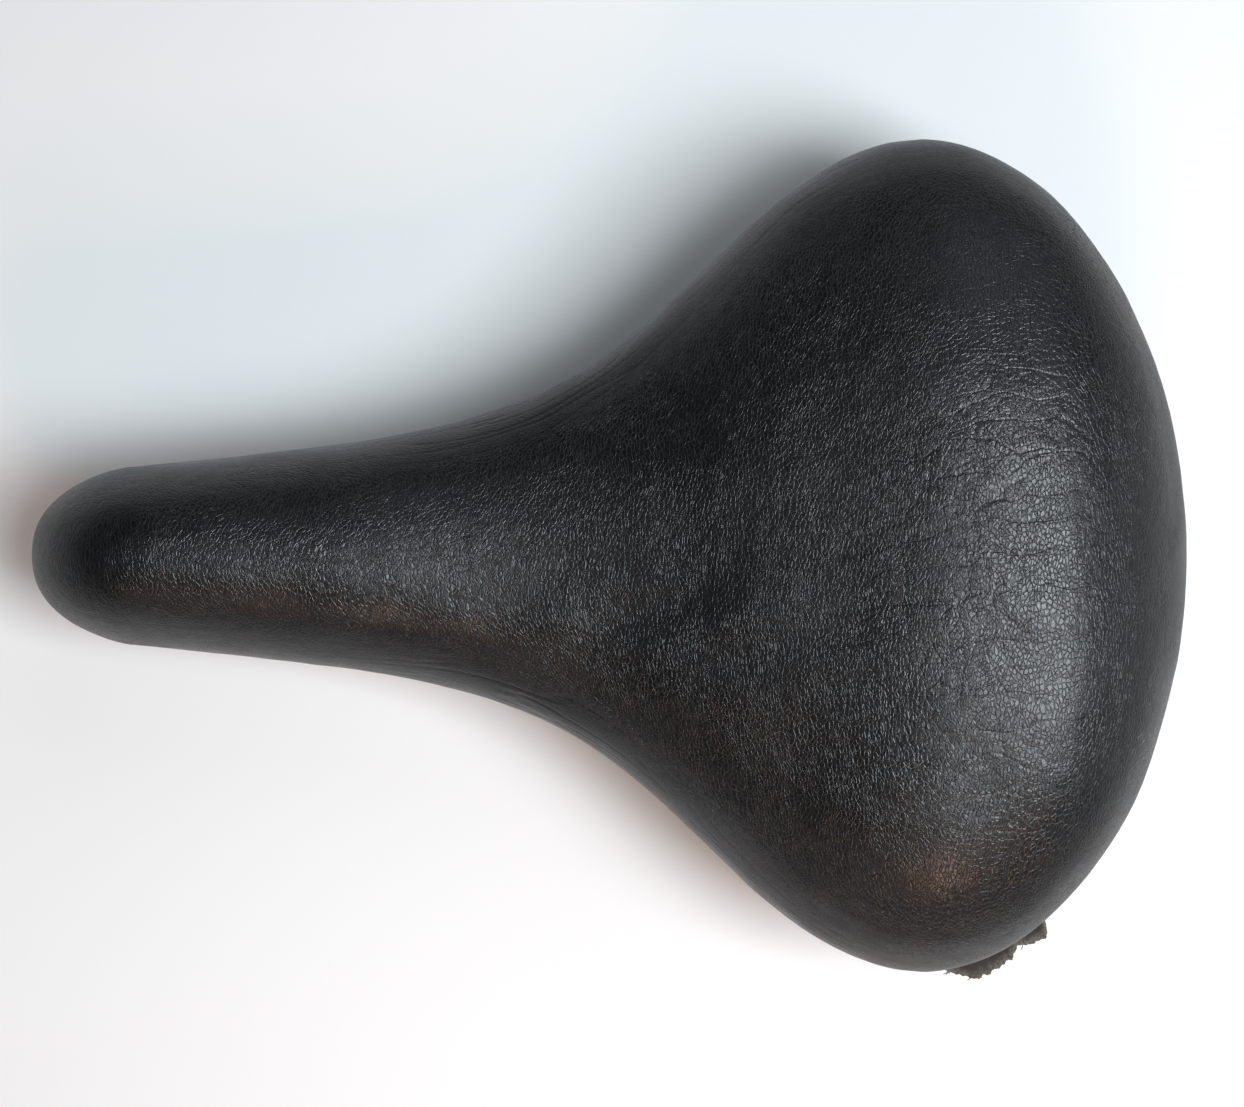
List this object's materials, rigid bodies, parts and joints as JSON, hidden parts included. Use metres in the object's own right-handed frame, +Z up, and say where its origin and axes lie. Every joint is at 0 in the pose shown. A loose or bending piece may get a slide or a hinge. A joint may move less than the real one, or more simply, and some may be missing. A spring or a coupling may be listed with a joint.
{
  "type": "bicycle saddle",
  "caption": "Padded black bicycle saddle with a narrow nose and wide rear, on a bent wire frame with coil springs and a pillar clip.",
  "frame": {"origin": "centre of the clip strap's bore, at the height of its cross bolt", "axes": "+X along the saddle towards its nose, +Y to the saddle's left, +Z up along the seat pillar"},
  "size_m": [0.2736, 0.1993, 0.092],
  "materials": {
    "black_leathercloth": "satin",
    "foam": "matte",
    "shell_plastic": "matte",
    "frayed_backing": "matte",
    "staple_steel": "satin",
    "rail_steel": "gloss",
    "spring_steel": "gloss",
    "zinc_steel": "satin",
    "black_painted_steel": "satin"
  },
  "bodies": {
    "strap": {"clip_strap": "zinc_steel"},
    "clip_carriage": {"clip_cross_bolt": "zinc_steel", "left_inner_cheek": "zinc_steel", "left_outer_cheek": "zinc_steel", "left_clip_washer": "zinc_steel", "right_inner_cheek": "zinc_steel", "right_outer_cheek": "zinc_steel", "right_clip_washer": "zinc_steel"},
    "left_nut": {"left_clip_nut": "zinc_steel"},
    "right_nut": {"right_clip_nut": "zinc_steel"},
    "spring_frame": {"rail_wire": "rail_steel", "lower_spring_bracket": "black_painted_steel", "lower_spring_washers": "zinc_steel", "left_lower_spring_cup": "black_painted_steel", "left_lower_spring_bolt": "zinc_steel", "left_lower_spring_nut": "zinc_steel", "left_spring": "spring_steel", "right_lower_spring_cup": "black_painted_steel", "right_lower_spring_bolt": "zinc_steel", "right_lower_spring_nut": "zinc_steel", "right_spring": "spring_steel"},
    "seat": {"cover": "black_leathercloth", "foam_pad": "foam", "base_shell": "shell_plastic", "hem_staples": "staple_steel", "torn_hem_flap": "frayed_backing", "nose_bearing_cap": "shell_plastic", "nose_cap_screws": "zinc_steel", "upper_spring_plate": "black_painted_steel", "upper_plate_screws": "zinc_steel", "left_upper_spring_cup": "black_painted_steel", "left_upper_spring_bolt": "zinc_steel", "left_upper_spring_nut": "zinc_steel", "right_upper_spring_cup": "black_painted_steel", "right_upper_spring_bolt": "zinc_steel", "right_upper_spring_nut": "zinc_steel"}
  },
  "joints": [
    {"name": "clip_tilt", "type": "hinge", "parent": "strap", "child": "clip_carriage", "pos_m": [-0.026, 0, 0], "axis": [0, 1, 0], "range_deg": [-20, 20]},
    {"name": "left_nut_turn", "type": "hinge", "parent": "clip_carriage", "child": "left_nut", "pos_m": [-0.026, 0.0322, 0], "axis": [0, 1, 0], "range_deg": [0, 720]},
    {"name": "right_nut_turn", "type": "hinge", "parent": "clip_carriage", "child": "right_nut", "pos_m": [-0.026, -0.0322, 0], "axis": [0, -1, 0], "range_deg": [0, 720]},
    {"name": "fore_aft_slide", "type": "slide", "parent": "clip_carriage", "child": "spring_frame", "axis": [1, 0, 0], "range_m": [-0.015, 0.015]},
    {"name": "seat_spring_travel", "type": "hinge", "parent": "spring_frame", "child": "seat", "pos_m": [0.075, 0, 0.033], "axis": [0, -1, 0], "range_deg": [0, 5], "stiffness_Nm_per_rad": 1200, "deforming": ["left_spring", "right_spring"]}
  ]
}
